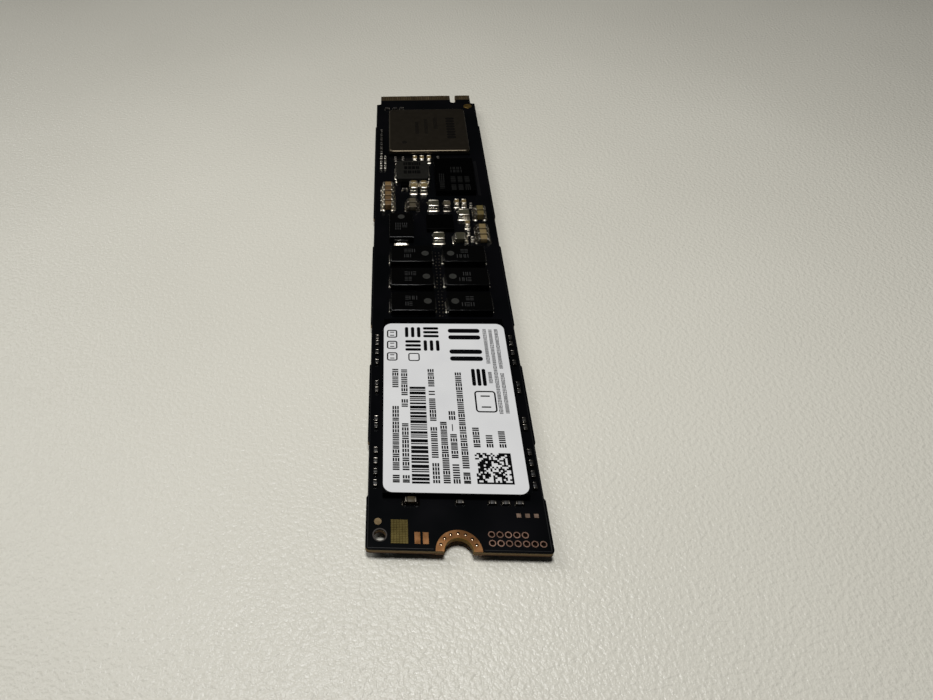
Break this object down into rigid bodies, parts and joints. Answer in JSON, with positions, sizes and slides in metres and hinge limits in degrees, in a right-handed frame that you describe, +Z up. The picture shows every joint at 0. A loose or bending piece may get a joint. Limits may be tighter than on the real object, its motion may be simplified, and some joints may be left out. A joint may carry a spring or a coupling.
{
  "type": "m.2 solid-state drive",
  "caption": "Bare M.2 solid-state drive board with keyed card-edge contacts, half-round screw notch, memory packages, lidded controller, moulded capacitors and a label.",
  "frame": {"origin": "centre of the board's footprint, on the surface that the packages on the underside rest on", "axes": "+X across the board, towards the side with the key slot, +Y along the board towards the contact fingers, +Z up out of the labelled face"},
  "size_m": [0.022, 0.11, 0.0034],
  "materials": {
    "masked_laminate": "black solder mask, semi-gloss, bare brown laminate on the cut edges",
    "contact_gold": "plated contacts, satin",
    "pad_gold": "plated pads, satin",
    "bare_copper": "coated copper, satin",
    "bare_laminate": "laminate without mask, matt",
    "package_black": "moulded epoxy, fine matt grain",
    "package_substrate": "package laminate, matt",
    "label_film": "coated label film, satin",
    "lid_metal": "nickel-plated lid, satin",
    "ferrite_grey": "pressed powder, matt",
    "capacitor_black": "moulded epoxy, satin",
    "tinned_metal": "tin-plated, bright",
    "choke_grey": "pressed powder, matt",
    "ceramic_brown": "fired ceramic, satin",
    "ceramic_tan": "fired ceramic, satin",
    "ceramic_dark": "dark coated ceramic, satin"
  },
  "bodies": {
    "root": {"board": "masked_laminate", "buck_capacitors_blocks": "ceramic_tan", "buck_capacitors_ends": "tinned_metal", "chokes_blocks": "choke_grey", "chokes_ends": "tinned_metal", "code_pad": "pad_gold", "contact_fingers_bottom": "contact_gold", "contact_fingers_top": "contact_gold", "controller_capacitors_blocks": "ceramic_tan", "controller_capacitors_ends": "tinned_metal", "controller_lid": "lid_metal", "controller_substrate": "package_substrate", "crystal_base": "ceramic_dark", "crystal_lid": "tinned_metal", "debug_eyelets": "bare_copper", "dram_bottom": "package_black", "dram_top": "package_black", "fiducials": "pad_gold", "flash_bottom_1": "package_black", "flash_bottom_2": "package_black", "flash_capacitors_blocks": "ceramic_tan", "flash_capacitors_ends": "tinned_metal", "flash_top_1": "package_black", "flash_top_2": "package_black", "holdup_capacitor_1": "capacitor_black", "holdup_capacitor_2": "capacitor_black", "holdup_capacitor_3": "capacitor_black", "holdup_capacitor_4": "capacitor_black", "holdup_capacitor_5": "capacitor_black", "holdup_capacitor_6": "capacitor_black", "holdup_capacitor_7": "capacitor_black", "holdup_leads": "tinned_metal", "input_bank_blocks": "ceramic_brown", "input_bank_ends": "tinned_metal", "label": "label_film", "logic_package": "package_black", "medium_capacitors_blocks": "ceramic_tan", "medium_capacitors_ends": "tinned_metal", "output_bank_blocks": "ceramic_tan", "output_bank_ends": "tinned_metal", "power_inductor": "ferrite_grey", "power_inductor_terminals": "tinned_metal", "regulator": "package_black", "resistors_blocks": "ceramic_dark", "resistors_ends": "tinned_metal", "screw_ring_bottom": "bare_copper", "screw_ring_top": "bare_copper", "test_pads": "bare_copper", "tooling_ring": "bare_laminate", "underside_capacitors_blocks": "ceramic_tan", "underside_capacitors_ends": "tinned_metal"}
  },
  "joints": []
}
